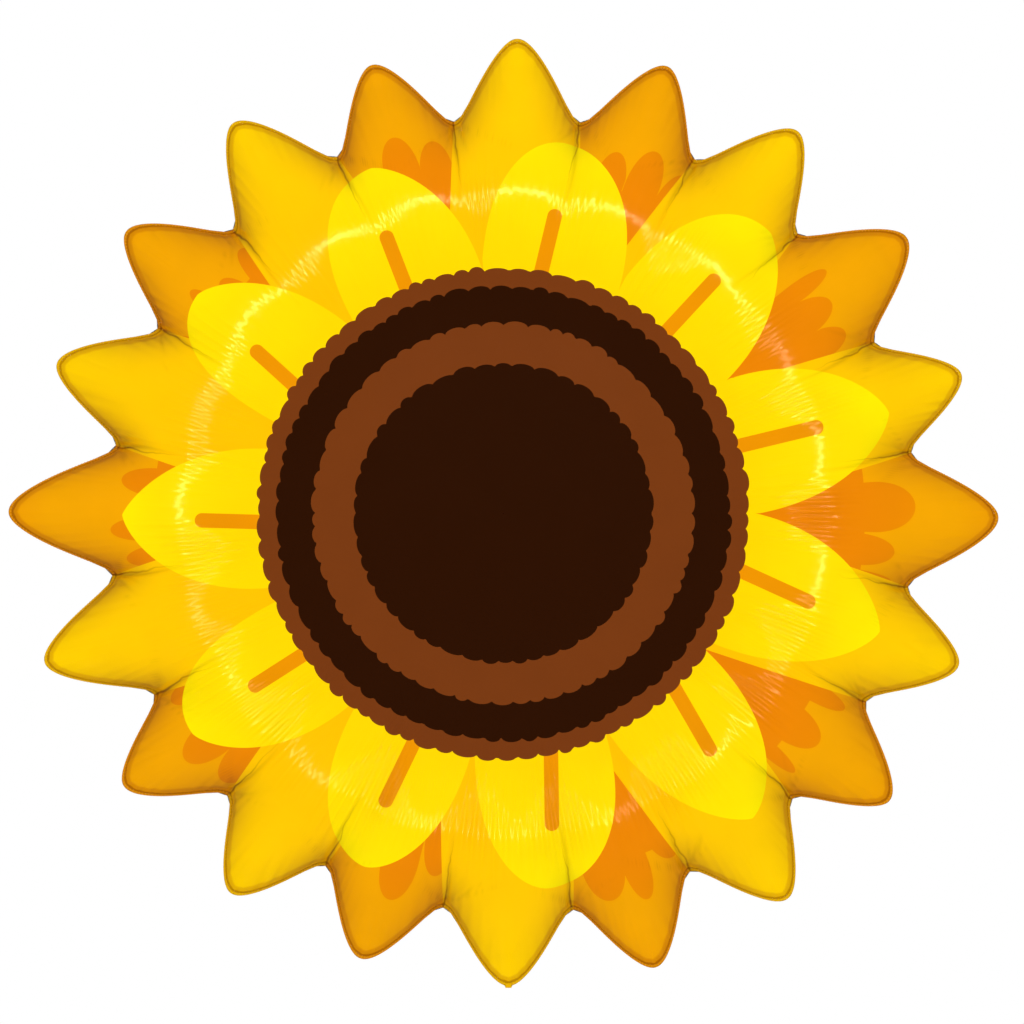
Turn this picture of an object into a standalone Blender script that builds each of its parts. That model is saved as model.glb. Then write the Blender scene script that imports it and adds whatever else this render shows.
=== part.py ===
"""Sunflower-shaped foil balloon: two printed foil sheets heat-sealed along a twenty-petal outline,
inflated and upright, with a folded inflation tail and a two-film self-sealing valve inside.

Metres, +Z up. The printed front faces -Y. The origin is the neck of the inflation tail, at the tip of
the bottom petal, where a ribbon holds the balloon. The two sheets meet in the plane y = 0.
"""

import math

import bmesh
import bpy
import numpy as np
from mathutils import Vector

# Driving dimensions, in metres.
HALF_DEPTH = 0.155  # from the seam plane to the middle of either sheet
MEAN_REACH = 0.336  # radius of the round body under the petals
PETAL_HOLD = 6  # how near the seam the round body turns into petals: higher is nearer
SEAM_SLOPE = 1.35  # rise over run where a sheet leaves the seam
SLOPE_BLEND = 3  # sharpness of the change from that slope to the dome
SEAL_WIDTH = 0.003  # the flat heat seal round the outline
WALL = 0.0008  # stand-in for the 0.03 mm film, at the seal
GAP = 0.0003  # between the two sheets along the seal
OUTLINE_ROUNDING = 0.95  # 1 would give sharp tips and notches

# Each petal: bearing of its tip in degrees, tip radius, bearing of the notch after it, notch radius.
# Bearings run clockwise from the top petal and are measured anticlockwise from +X.
PETALS = (
    (88.3, 0.380, 78.9, 0.319),
    (69.9, 0.381, 61.6, 0.322),
    (52.4, 0.386, 43.6, 0.325),
    (34.4, 0.391, 24.8, 0.327),
    (16.9, 0.383, 8.5, 0.330),
    (-0.5, 0.396, -10.3, 0.329),
    (-18.5, 0.384, -27.4, 0.327),
    (-36.6, 0.385, -44.6, 0.325),
    (-53.6, 0.383, -62.5, 0.323),
    (-71.4, 0.383, -80.0, 0.322),
    (-89.4, 0.378, -98.7, 0.319),
    (-107.8, 0.374, -116.8, 0.316),
    (-125.7, 0.374, -134.4, 0.316),
    (-144.3, 0.374, -152.6, 0.315),
    (-162.0, 0.386, -171.0, 0.317),
    (-180.2, 0.396, -190.0, 0.315),
    (-198.6, 0.377, -208.1, 0.314),
    (-216.8, 0.377, -226.4, 0.314),
    (-235.3, 0.380, -245.0, 0.315),
    (-253.6, 0.374, -262.8, 0.316),
)
BOTTOM_PETAL = 10
# Stations along one petal's edge, from notch (0) to tip (1).
EDGE_STATIONS = (0.0, 0.16, 0.5, 0.84)
# Rings of a sheet, as shares of the distance from the middle to the seam. The inner face's rings lie
# under the outer face's, so that the wall stays even.
OUTER_RINGS = (0.3, 0.5, 0.66, 0.78, 0.87, 0.94, 0.98)
INNER_RINGS = OUTER_RINGS[:-1]

TAIL_WIDTH = 0.016
TAIL_LENGTH = 0.055
TAIL_WALL = 0.0007
TAIL_ROOT = 0.0016  # how far up the seal the tail starts
TAIL_DROP = 0.0  # from the neck down to the fold
TAIL_FOLD_RADIUS = 0.0021
TAIL_LEAN = 44.0  # degrees off vertical, so that the folded tail lies against the petal's back
FOLD_STEPS = 8

VALVE_WALL = 0.0004
VALVE_WIDTH = 0.016
VALVE_MOUTH_WIDTH = 0.007  # where the films enter from the tail
VALVE_START = 0.013  # above the neck
VALVE_SHOULDER = 0.026
VALVE_END = 0.105

YELLOW_PRINT = (0.98, 0.64, 0.0, 1.0)
ORANGE_PRINT = (0.93, 0.40, 0.0, 1.0)
CLEAR_FILM = (0.85, 0.87, 0.88, 1.0)

NECK_BEARING = math.radians(PETALS[BOTTOM_PETAL][0])
NECK_RADIUS = PETALS[BOTTOM_PETAL][1]
CENTRE_X = -NECK_RADIUS * math.cos(NECK_BEARING)
CENTRE_Z = -NECK_RADIUS * math.sin(NECK_BEARING)


def clear_scene():
    for old in list(bpy.data.objects):
        bpy.data.objects.remove(old, do_unlink=True)


def film_material(name, color, roughness, metallic):
    material = bpy.data.materials.new(name)
    material.use_nodes = True
    shader = material.node_tree.nodes["Principled BSDF"]
    shader.inputs["Base Color"].default_value = color
    shader.inputs["Roughness"].default_value = roughness
    shader.inputs["Metallic"].default_value = metallic
    return material


def edge_share(along):
    """Share of the way from notch radius to tip radius, at a share of the way along a petal's edge."""
    end = math.acos(OUTLINE_ROUNDING)
    turned = math.acos(OUTLINE_ROUNDING * math.cos(math.pi * along))
    return (turned - end) / (math.pi - 2 * end)


def outline():
    """(bearings in radians, radii) of the cut edge, running once round, clockwise."""
    bearings = []
    radii = []
    for number, (tip_bearing, tip_radius, notch_bearing, notch_radius) in enumerate(PETALS):
        before_bearing, before_radius = PETALS[number - 1][2:]
        if number == 0:
            before_bearing += 360
        for along in EDGE_STATIONS:
            bearings.append(before_bearing + along * (tip_bearing - before_bearing))
            radii.append(before_radius + edge_share(along) * (tip_radius - before_radius))
        for along in (1.0,) + EDGE_STATIONS[:0:-1]:
            bearings.append(notch_bearing + along * (tip_bearing - notch_bearing))
            radii.append(notch_radius + edge_share(along) * (tip_radius - notch_radius))
    return np.radians(bearings), np.array(radii)


def distance_to_edge(x, z, bearings, radii):
    """Distance from each point to the nearest stretch of an outline."""
    corners = np.stack([radii * np.cos(bearings), radii * np.sin(bearings)], axis=1)
    run = np.roll(corners, -1, axis=0) - corners
    away = np.stack([x, z], axis=-1)[:, None, :] - corners[None]
    share = np.clip((away * run).sum(-1) / (run * run).sum(-1), 0, 1)
    return np.linalg.norm(away - share[..., None] * run, axis=-1).min(axis=1)


def sheet_height(shares, bearings, radii, depth, reach):
    """Height of an inflated sheet over its seam plane, for rings at these shares of the seam's radius."""
    rings = []
    for share in shares:
        radius = share * radii
        body = reach + (radii - reach) * share**PETAL_HOLD
        dome = depth * np.sqrt(np.clip(1 - (radius / body) ** 2, 0, None))
        x = radius * np.cos(bearings)
        z = radius * np.sin(bearings)
        edge = SEAM_SLOPE * distance_to_edge(x, z, bearings, radii)
        low = np.maximum(np.minimum(dome, edge), 1e-6)
        high = np.maximum(np.maximum(dome, edge), 1e-6)
        rings.append(low * (1 + (low / high) ** SLOPE_BLEND) ** (-1 / SLOPE_BLEND))
    return rings


def foil_sheet(name, side, material):
    """One foil sheet: side -1 is the front and +1 the back. A closed shell with a flat sealed rim."""
    bearings, edge_radii = outline()
    seam_radii = edge_radii - SEAL_WIDTH
    hollow_radii = seam_radii - WALL
    outer_face = GAP / 2 + WALL
    inner_face = GAP / 2
    outer = sheet_height(OUTER_RINGS, bearings, seam_radii, HALF_DEPTH, MEAN_REACH - SEAL_WIDTH)
    inner_reach = MEAN_REACH - SEAL_WIDTH - WALL
    inner = sheet_height(INNER_RINGS, bearings, hollow_radii, HALF_DEPTH - 2 * WALL, inner_reach)
    rings = [(share * seam_radii, outer_face + rise) for share, rise in zip(OUTER_RINGS, outer)]
    flat = np.zeros_like(bearings)
    rings.append((seam_radii, outer_face + flat))
    rings.append((edge_radii, outer_face + flat))
    rings.append((edge_radii, inner_face + flat))
    rings.append((hollow_radii, inner_face + flat))
    for share, rise in reversed(list(zip(INNER_RINGS, inner))):
        rings.append((share * hollow_radii, inner_face + rise))

    mesh = bmesh.new()
    outer_pole = mesh.verts.new((CENTRE_X, side * (outer_face + HALF_DEPTH), CENTRE_Z))
    rows = []
    for ring_radii, rise in rings:
        row = []
        for bearing, radius, height in zip(bearings, ring_radii, rise):
            x = CENTRE_X + radius * math.cos(bearing)
            z = CENTRE_Z + radius * math.sin(bearing)
            row.append(mesh.verts.new((x, side * height, z)))
        rows.append(row)
    inner_rise = inner_face + HALF_DEPTH - 2 * WALL
    inner_pole = mesh.verts.new((CENTRE_X, side * inner_rise, CENTRE_Z))
    count = len(bearings)
    for here in range(count):
        after = (here + 1) % count
        mesh.faces.new((outer_pole, rows[0][here], rows[0][after]))
        for near, far in zip(rows, rows[1:]):
            mesh.faces.new((near[here], far[here], far[after], near[after]))
        mesh.faces.new((inner_pole, rows[-1][after], rows[-1][here]))
    return finish_mesh(name, mesh, material)


def finish_mesh(name, mesh, material):
    bmesh.ops.triangulate(mesh, faces=mesh.faces)
    bmesh.ops.recalc_face_normals(mesh, faces=mesh.faces)
    data = bpy.data.meshes.new(name)
    mesh.to_mesh(data)
    mesh.free()
    data.materials.append(material)
    data.shade_smooth()
    data.set_sharp_from_angle(angle=math.radians(40))
    made = bpy.data.objects.new(name, data)
    bpy.context.scene.collection.objects.link(made)
    return made


def tail_path(side):
    """The middle line of one film of the folded tail, as (y, z) points from the seal to the free end."""
    middle = side * (GAP / 2 + WALL / 2)
    turn_y = TAIL_FOLD_RADIUS
    radius = turn_y - middle
    points = [(middle, TAIL_ROOT)]
    for step in range(FOLD_STEPS + 1):
        angle = math.radians(180 + (180 - TAIL_LEAN) * step / FOLD_STEPS)
        points.append((turn_y + radius * math.cos(angle), -TAIL_DROP + radius * math.sin(angle)))
    lean = math.radians(TAIL_LEAN)
    y, z = points[-1]
    points.append((y + TAIL_LENGTH * math.sin(lean), z + TAIL_LENGTH * math.cos(lean)))
    return points


def tail_film(name, side):
    """A strip of film that follows the tail's path, kept as a helper to be joined to its sheet."""
    path = [Vector(point) for point in tail_path(side)]
    mesh = bmesh.new()
    rows = []
    for number, point in enumerate(path):
        before = path[max(number - 1, 0)]
        after = path[min(number + 1, len(path) - 1)]
        along = (after - before).normalized()
        across = Vector((-along.y, along.x)) * TAIL_WALL / 2
        corners = []
        for x, shift in ((-1, across), (1, across), (1, -across), (-1, -across)):
            place = point + shift
            corners.append(mesh.verts.new((x * TAIL_WIDTH / 2, place.x, place.y)))
        rows.append(corners)
    for near, far in zip(rows, rows[1:]):
        for corner in range(4):
            after = (corner + 1) % 4
            mesh.faces.new((near[corner], near[after], far[after], far[corner]))
    mesh.faces.new(rows[0][::-1])
    mesh.faces.new(rows[-1])
    bmesh.ops.recalc_face_normals(mesh, faces=mesh.faces)
    data = bpy.data.meshes.new(name)
    mesh.to_mesh(data)
    mesh.free()
    helper = bpy.data.objects.new(name, data)
    bpy.context.scene.collection.objects.link(helper)
    helper.hide_render = True
    helper.display_type = "WIRE"
    return helper


def join_tail(sheet, helper):
    join = sheet.modifiers.new("tail", "BOOLEAN")
    join.operation = "UNION"
    join.solver = "EXACT"
    join.object = helper


def valve_film(name, side, material):
    """One film of the valve: a flat strip inside the bottom petal, tapered where it enters."""
    near = side * GAP / 2
    far = side * (GAP / 2 + VALVE_WALL)
    mouth = VALVE_MOUTH_WIDTH / 2
    half = VALVE_WIDTH / 2
    corners = (
        (-mouth, VALVE_START),
        (mouth, VALVE_START),
        (half, VALVE_SHOULDER),
        (half, VALVE_END),
        (-half, VALVE_END),
        (-half, VALVE_SHOULDER),
    )
    mesh = bmesh.new()
    bottom = [mesh.verts.new((x, near, z)) for x, z in corners]
    face = mesh.faces.new(bottom)
    grown = bmesh.ops.extrude_face_region(mesh, geom=[face])
    lifted = [item for item in grown["geom"] if isinstance(item, bmesh.types.BMVert)]
    bmesh.ops.translate(mesh, verts=lifted, vec=(0, far - near, 0))
    return finish_mesh(name, mesh, material)


def main():
    clear_scene()
    front_print = film_material("front_printed_foil", YELLOW_PRINT, 0.25, 0.0)
    back_print = film_material("back_printed_foil", ORANGE_PRINT, 0.25, 0.0)
    clear_film = film_material("clear_valve_film", CLEAR_FILM, 0.4, 0.0)
    front = foil_sheet("front_foil", -1, front_print)
    join_tail(front, tail_film("front_tail_helper", -1))
    back = foil_sheet("back_foil", 1, back_print)
    join_tail(back, tail_film("back_tail_helper", 1))
    valve_film("valve_film_front", -1, clear_film)
    valve_film("valve_film_back", 1, clear_film)


main()
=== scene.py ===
"""Looks of an inflated, sunflower-shaped foil balloon: two printed sheets of film, puffed by a cloth
simulation, creased at the notches and pleated round the middle, with the flower printed on both.

Metres, +Z up. The printed front faces -Y. The seal lies in the plane y = 0.
"""

import math

import bmesh
import bpy
import numpy as np
from mathutils import Matrix, Vector


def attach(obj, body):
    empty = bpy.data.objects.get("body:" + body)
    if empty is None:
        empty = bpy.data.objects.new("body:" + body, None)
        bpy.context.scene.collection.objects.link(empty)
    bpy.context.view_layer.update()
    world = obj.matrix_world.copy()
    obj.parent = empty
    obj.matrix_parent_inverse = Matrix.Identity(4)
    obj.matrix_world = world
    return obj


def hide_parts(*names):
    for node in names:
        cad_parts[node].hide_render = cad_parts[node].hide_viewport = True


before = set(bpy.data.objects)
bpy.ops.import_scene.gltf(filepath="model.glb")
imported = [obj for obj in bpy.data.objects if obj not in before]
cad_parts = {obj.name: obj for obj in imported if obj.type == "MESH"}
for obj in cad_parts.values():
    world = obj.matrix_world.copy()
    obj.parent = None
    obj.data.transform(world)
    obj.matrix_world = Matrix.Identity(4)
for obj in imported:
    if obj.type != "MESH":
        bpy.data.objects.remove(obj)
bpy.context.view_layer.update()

bl_info = {
    "name": "Sunflower foil balloon",
    "version": (1, 0, 0),
    "blender": (4, 5, 0),
    "location": "3D View > Sidebar > Balloon",
    "description": "Builds the printed sheets, seal and valve of a sunflower-shaped foil balloon",
    "category": "Object",
}

# The sheets' shape. Shares are of the way from the middle of the flower to the seal.
PETALS = 20
OUTLINE_ROUNDING = 0.87  # 1 would give sharp tips and notches
OUTLINE_BULGE = 0.045  # the petals' edges bow outwards this much, as a share of their length
SEAL_WIDTH = 0.003
SEAL_LEVEL = 0.0012  # the seal lies this near the seam plane
TAIL_CLEAR = 0.009  # the tail's own corners lie within this of the neck
BODY_REACH = 0.333  # radius that the round body would have without petals
SHOULDER = 0.271  # the round body ends here, and each petal runs straight on down to the seal
SIM_STATIONS = 16  # round one petal
SKIN_STATIONS = 64
OPEN_RADIUS = 0.12  # the simulated film stops here, and the middle is a plain dome
BLEND_RADIUS = 0.19  # the simulated puffing counts in full from here outwards
MEAN_EDGE = 0.345  # the seal's radius, about, where only the spacing of points depends on it
SIM_STEP = 0.005
SIM_INNER_STEP = 0.009
SKIN_STEP = 0.0041
MIDDLE_STEP = 0.0085
SEAM_RISE = 0.0045  # height of the short steep wall where a sheet leaves the seal
SEAM_WALL = 0.0016  # how far in that wall reaches
FIRST_STEP = 0.0011
STEP_GROWTH = 1.3
NOISE_SINES = 7
FILM = 0.00015  # drawn thicker than the 0.03 mm film, so that it stays a solid
FLAT_GAP = 0.00005  # from the seam plane to a sheet's inner face at the seal
LINING_DROP = 0.0012  # the lining lies this far inside the lowest dents of the skin

# The filling tail, folded back behind the lowest petal.
TAIL_WIDTH = 0.016
TAIL_LENGTH = 0.055
TAIL_STEP = 0.00055  # each sheet's tail lies this far from the seam plane
TAIL_FOLD = 0.0010
TAIL_LEAN = math.radians(44)
TAIL_CRINKLE = 0.0005
TAIL_NECK = 0.3  # its width at the seal, as a share of its full width
TAIL_FLARE = 0.012
TAIL_TURNS = 10
TAIL_ROWS = 30
TAIL_COLUMNS = 13

# The print. Bearings are in degrees anticlockwise from +X, lengths in metres from the middle.
DISC_EDGES = (0.1920, 0.1774, 0.1487, 0.1166)  # brown, dark, brown, dark
SCALLOP_COUNTS = (80, 74, 62, 48)
SCALLOP_DEPTH = 0.0052
PETAL_FOOT = 0.120  # the inner petals start here, under the disc
LOBE_HEIGHT = 0.036
# The crease's dark line from each notch is painted shade.
CREASE_SHADE_REACH = 0.062  # how far in the crease from each notch shows as a dark line
RIB_FOOT = 0.190
RIB_HALF_WIDTH = 0.0057
# Inner petals: bearing and radius of the tip, spread in degrees and fullness of the side before the
# tip (clockwise of it), then of the side after it.
INNER_PETALS = (
    (80.5, 0.297, 20.0, 1.85, 15.9, 2.0),
    (111.1, 0.292, 18.6, 1.35, 18.4, 2.1),
    (144.5, 0.297, 17.2, 1.35, 14.8, 2.3),
    (180.2, 0.301, 17.9, 1.2, 19.7, 1.4),
    (215.3, 0.301, 15.2, 2.3, 18.2, 1.35),
    (248.3, 0.300, 17.3, 1.8, 15.6, 1.6),
    (277.1, 0.2985, 15.2, 1.8, 19.4, 2.0),
    (309.3, 0.3115, 15.4, 1.25, 18.4, 1.5),
    (342.6, 0.312, 16.1, 1.35, 20.0, 1.3),
    (14.7, 0.3155, 16.8, 1.35, 18.8, 1.4),
    (46.5, 0.307, 18.6, 1.3, 18.2, 2.1),
)
# Ribs, one in each inner petal: bearing of the foot, then bearing and radius of the round end.
RIBS = (
    (81.1, 80.2, 0.2367),
    (113.3, 112.9, 0.2350),
    (148.6, 146.7, 0.2311),
    (182.0, 181.3, 0.2365),
    (215.2, 214.7, 0.2369),
    (248.7, 247.7, 0.2434),
    (281.3, 278.9, 0.2466),
    (314.5, 311.2, 0.2461),
    (346.5, 343.9, 0.2494),
    (16.0, 15.4, 0.2551),
    (48.1, 47.9, 0.2464),
)
# Dark flames on the orange petals: the radius below which each is one solid shape, then its lobes'
# bearing and radius of the top and spread in degrees.
FLAMES = (
    (0.270, ((72.3, 0.2994, 2.7), (67.0, 0.3107, 2.8), (61.4, 0.3048, 2.9))),
    (0.268, ((37.0, 0.3200, 1.5), (32.9, 0.3085, 2.9), (28.0, 0.3065, 2.6))),
    (0.285, ((1.0, 0.3265, 3.9), (-5.7, 0.3110, 2.6), (-9.9, 0.3125, 1.0))),
    (0.283, ((-29.8, 0.3120, 1.6), (-36.1, 0.3085, 3.2), (-41.6, 0.3085, 1.3))),
    (0.290, ((-63.8, 0.3035, 3.0), (-69.4, 0.3265, 2.1), (-74.3, 0.3185, 3.4))),
    (0.262, ((-100.9, 0.2917, 2.6), (-106.5, 0.3190, 2.9))),
    (0.275, ((-136.6, 0.3085, 2.9), (-142.3, 0.3190, 3.0), (-150.5, 0.3026, 2.2))),
    (0.275, ((186.9, 0.3003, 1.9), (182.4, 0.3110, 2.0), (174.9, 0.3030, 2.4))),
    (0.272, ((151.6, 0.2925, 1.5), (144.6, 0.3036, 1.7), (140.5, 0.2890, 2.6), (135.0, 0.2955, 2.3))),
    (0.270, ((106.5, 0.3098, 3.0), (101.0, 0.2998, 2.9))),
)
LOBES = [lobe for floor, lobes in FLAMES for lobe in lobes]

UNPRINTED_MAP = (0.055, 0.055, 0.05)  # where the lining lies in the flat map: centre and half size
MAP_HALF = 0.41  # the flat map reaches this far each way from the middle

FLOOR_LEVEL = -2.2  # the balloon floats well above it
RING_ANGLE = math.radians(60.5)  # of the strip lamps round the view, from straight ahead
RING_REACH = 2.6
RING_LAMPS = 12
WORLD_GLOSS = 0.02  # brightness of the surroundings in reflections
WORLD_FILL = 0.80  # and what they add to it as soft light
VIEW_WIDTH = 0.8192
VIEW_SHIFT = (0.0068, 0.0012)  # how far right of and above the flower's middle the camera looks

MATH = "ShaderNodeMath"
VECTOR = "ShaderNodeVectorMath"
MIX = "ShaderNodeMix"


def linear(code):
    """An sRGB hex colour as linear RGBA."""
    parts = [int(code[at:at + 2], 16) / 255 for at in (1, 3, 5)]
    return tuple(p / 12.92 if p <= 0.04045 else ((p + 0.055) / 1.055) ** 2.4 for p in parts) + (1.0,)


def add(tree, kind, inputs=(), **settings):
    """Adds a node, sets its settings, and feeds its inputs by place or name: a socket is linked."""
    node = tree.nodes.new(kind)
    for name, value in settings.items():
        setattr(node, name, value)
    pairs = inputs.items() if isinstance(inputs, dict) else enumerate(inputs)
    for key, value in pairs:
        if value is None:
            continue
        if isinstance(value, bpy.types.NodeSocket):
            tree.links.new(value, node.inputs[key])
        else:
            node.inputs[key].default_value = value
    return node


# Shape ------------------------------------------------------------------------------------------


def turned(angles):
    """Angles brought to within half a turn of zero."""
    return (np.asarray(angles) + np.pi) % (2 * np.pi) - np.pi


def sealed_edge():
    """Middle of the flower, and bearings and radii of its tips and notches, from the front sheet."""
    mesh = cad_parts["front_foil"].data
    points = np.empty(len(mesh.vertices) * 3)
    mesh.vertices.foreach_get("co", points)
    points = points.reshape(-1, 3)
    middle = points[points[:, 1].argmin()]
    flat = points[:, ::2] - middle[::2]
    radii = np.hypot(flat[:, 0], flat[:, 1])
    at_neck = (abs(points[:, 0]) < TAIL_CLEAR) & (points[:, 2] < TAIL_CLEAR)
    sealed = (abs(points[:, 1]) < SEAL_LEVEL) & (radii > 0.7 * radii.max()) & ~at_neck
    flat = np.vstack([flat[sealed], -middle[::2]])
    bearings = np.arctan2(flat[:, 1], flat[:, 0])
    radii = np.hypot(flat[:, 0], flat[:, 1])
    order = np.argsort(bearings)
    bearings, radii = bearings[order], radii[order]
    starts = np.flatnonzero(np.diff(bearings, prepend=-9) > 2e-4)
    outer = np.maximum.reduceat(radii, starts)
    bearings = bearings[starts]
    near = abs(turned(bearings[:, None] - bearings[None])) < math.radians(5)
    tips = outer >= np.where(near, outer, 0).max(axis=1)
    notches = outer <= np.where(near, outer, 9).min(axis=1)
    if tips.sum() != PETALS or notches.sum() != PETALS:
        raise RuntimeError(f"found {tips.sum()} tips and {notches.sum()} notches")
    return Vector(middle), (bearings[tips], outer[tips]), (bearings[notches], outer[notches])


MIDDLE, TIPS, NOTCHES = sealed_edge()
HALF_DEPTH = -MIDDLE.y - SEAL_LEVEL - SEAM_RISE
TOP_PETAL = int(abs(turned(TIPS[0] - math.pi / 2)).argmin())


def notch_before(tip):
    """Index of the notch clockwise of a tip."""
    gaps = turned(NOTCHES[0] - TIPS[0][tip])
    return int(np.where(gaps < 0, gaps, -9).argmax())


def edge_share(along):
    """Share of the way from notch radius to tip radius, at a share of the way along an edge."""
    end = math.acos(OUTLINE_ROUNDING)
    along = along + OUTLINE_BULGE * along * np.sin(np.pi * along)
    return (np.arccos(OUTLINE_ROUNDING * np.cos(np.pi * along)) - end) / (math.pi - 2 * end)


def stations(each):
    """Bearings and radii of the inside of the seal, at this many stations a petal, anticlockwise."""
    bearings, radii = [], []
    along = np.arange(each // 2) / (each // 2)
    for step in range(PETALS):
        tip = (TOP_PETAL + step) % PETALS
        before = notch_before(tip)
        after = (before + 1) % PETALS
        for notch, share in ((before, along), (after, 1 - along)):
            gap = turned(NOTCHES[0][notch] - TIPS[0][tip])
            bearings.append(TIPS[0][tip] + gap * (1 - share))
            radii.append(NOTCHES[1][notch] + edge_share(share) * (TIPS[1][tip] - NOTCHES[1][notch]))
    return np.concatenate(bearings), np.concatenate(radii) - SEAL_WIDTH


def distance_to_edge(x, z, bearings, radii):
    """Distance from each point to the nearest stretch of an outline."""
    corners = np.stack([radii * np.cos(bearings), radii * np.sin(bearings)], axis=1)
    run = np.roll(corners, -1, axis=0) - corners
    away = np.stack([x, z], axis=-1)[:, None, :] - corners[None]
    share = np.clip((away * run).sum(-1) / (run * run).sum(-1), 0, 1)
    return np.linalg.norm(away - share[..., None] * run, axis=-1).min(axis=1)


def dome(share, bearings, radii):
    """Height of a smooth sheet over the seam plane, for one ring at this share of the seal's radius."""
    if share >= 1:
        return np.zeros_like(bearings)
    radius = share * radii
    round_body = HALF_DEPTH * np.sqrt(np.clip(1 - (radius / BODY_REACH) ** 2, 0, None))
    level = HALF_DEPTH * math.sqrt(1 - (SHOULDER / BODY_REACH) ** 2)
    slope = HALF_DEPTH**2 * SHOULDER / (BODY_REACH**2 * level)
    run = np.clip(radius - SHOULDER, 0, None)
    span = radii - SHOULDER
    ramp = level - slope * run - (level - slope * span) * (run / span) ** 2
    return np.where(radius < SHOULDER, round_body, np.maximum(ramp, 0))


def ring_shares(step, inner_step, first_step):
    """Shares of the simulated film's rings, from the seal inwards to the plain middle."""
    mean = float(np.mean(stations(8)[1]))
    shares = [1.0]
    here = first_step
    while shares[-1] * mean > BLEND_RADIUS:
        shares.append(shares[-1] - here / mean)
        here = min(here * STEP_GROWTH, step)
    while shares[-1] * mean > OPEN_RADIUS:
        shares.append(shares[-1] - inner_step / mean)
    return np.array(shares)


def polar_points(shares, bearings, radii):
    """Points of smooth rings, as an array of ring, station and x, height, z, about the middle."""
    rows = []
    for share in shares:
        height = dome(share, bearings, radii)
        rows.append(np.stack([share * radii * np.cos(bearings), height,
                              share * radii * np.sin(bearings)], axis=1))
    return np.array(rows)


def inflated(settings):
    """Rings of the puffed film on a coarse grid, with the shares of the rings."""
    bearings, radii = stations(SIM_STATIONS)
    shares = ring_shares(SIM_STEP, SIM_INNER_STEP, SIM_STEP)
    start = polar_points(shares, bearings, radii)
    count = len(bearings)
    inward = start[::-1]
    runs = np.linalg.norm(np.diff(inward, axis=0), axis=2)
    first = np.linalg.norm(inward[0][:, ::2], axis=1) * 1.012
    reach = np.vstack([first, first + np.cumsum(runs, axis=0)])[::-1] * settings.film_excess
    flat = np.zeros_like(start)
    flat[..., 0] = reach * np.cos(bearings)
    flat[..., 2] = reach * np.sin(bearings)
    faces = []
    for ring in range(len(shares) - 1):
        for here in range(count):
            after = (here + 1) % count
            far, near = ring * count, (ring + 1) * count
            faces.append((far + here, near + here, near + after, far + after))
    mesh = bpy.data.meshes.new("film_to_inflate")
    mesh.from_pydata((start * (1, -1, 1)).reshape(-1, 3), [], faces)
    mesh.update()
    film = bpy.data.objects.new("film_to_inflate", mesh)
    bpy.context.scene.collection.objects.link(film)
    if sum(face.normal.y * face.area for face in mesh.polygons) > 0:
        mesh.flip_normals()
    held = film.vertex_groups.new(name="held")
    last = (len(shares) - 1) * count
    held.add(list(range(count)) + list(range(last, last + count)), 1.0, "REPLACE")
    film.shape_key_add(name="Basis")
    cut = film.shape_key_add(name="cut_flat")
    cut.data.foreach_set("co", flat.ravel())
    cut.value = 0
    cloth = film.modifiers.new("inflate", "CLOTH")
    fabric = cloth.settings
    fabric.quality = 6
    fabric.mass = 0.05
    fabric.tension_stiffness = fabric.compression_stiffness = 40
    fabric.shear_stiffness = 20
    fabric.bending_stiffness = 0.05
    fabric.tension_damping = fabric.compression_damping = fabric.shear_damping = 5
    fabric.bending_damping = 0.5
    fabric.air_damping = 2
    fabric.vertex_group_mass = "held"
    fabric.pin_stiffness = 50
    fabric.use_pressure = True
    fabric.uniform_pressure_force = settings.pressure
    fabric.rest_shape_key = cut
    fabric.effector_weights.gravity = 0
    cloth.collision_settings.use_collision = False
    cloth.point_cache.frame_start = 1
    cloth.point_cache.frame_end = settings.frames
    for moment in range(1, settings.frames + 1):
        bpy.context.scene.frame_set(moment)
    graph = bpy.context.evaluated_depsgraph_get()
    puffed = film.evaluated_get(graph).to_mesh()
    found = np.empty(len(puffed.vertices) * 3)
    puffed.vertices.foreach_get("co", found)
    found = found.reshape(start.shape) * (1, -1, 1)
    film.evaluated_get(graph).to_mesh_clear()
    bpy.data.objects.remove(film, do_unlink=True)
    bpy.data.meshes.remove(mesh)
    bpy.context.scene.frame_set(1)
    radius = np.hypot(start[..., 0], start[..., 2])
    share = np.clip((radius - OPEN_RADIUS) / (BLEND_RADIUS - OPEN_RADIUS), 0, 1)
    share = (share * share * (3 - 2 * share))[..., None]
    return shares, start + (found - start) * share * settings.slack


def curve_through(values, places, wanted):
    """Smooth curve through rows of values at rising places, read at the wanted places."""
    slopes = np.gradient(values, places, axis=0)
    at = np.clip(np.searchsorted(places, wanted) - 1, 0, len(places) - 2)
    width = places[at + 1] - places[at]
    t = (wanted - places[at]) / width
    shape = (-1,) + (1,) * (values.ndim - 1)
    t, width = t.reshape(shape), width.reshape(shape)
    return ((2 * t**3 - 3 * t**2 + 1) * values[at] + (t**3 - 2 * t**2 + t) * width * slopes[at]
            + (3 * t**2 - 2 * t**3) * values[at + 1] + (t**3 - t**2) * width * slopes[at + 1])


def closed_curve_through(values, factor):
    """The same round a closed ring of stations, with this many times as many."""
    count = values.shape[1]
    places = np.arange(-3, count + 3)
    padded = np.moveaxis(values[:, places % count], 1, 0)
    wanted = np.arange(count * factor) / factor
    return np.moveaxis(curve_through(padded, places.astype(float), wanted), 0, 1)


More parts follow.
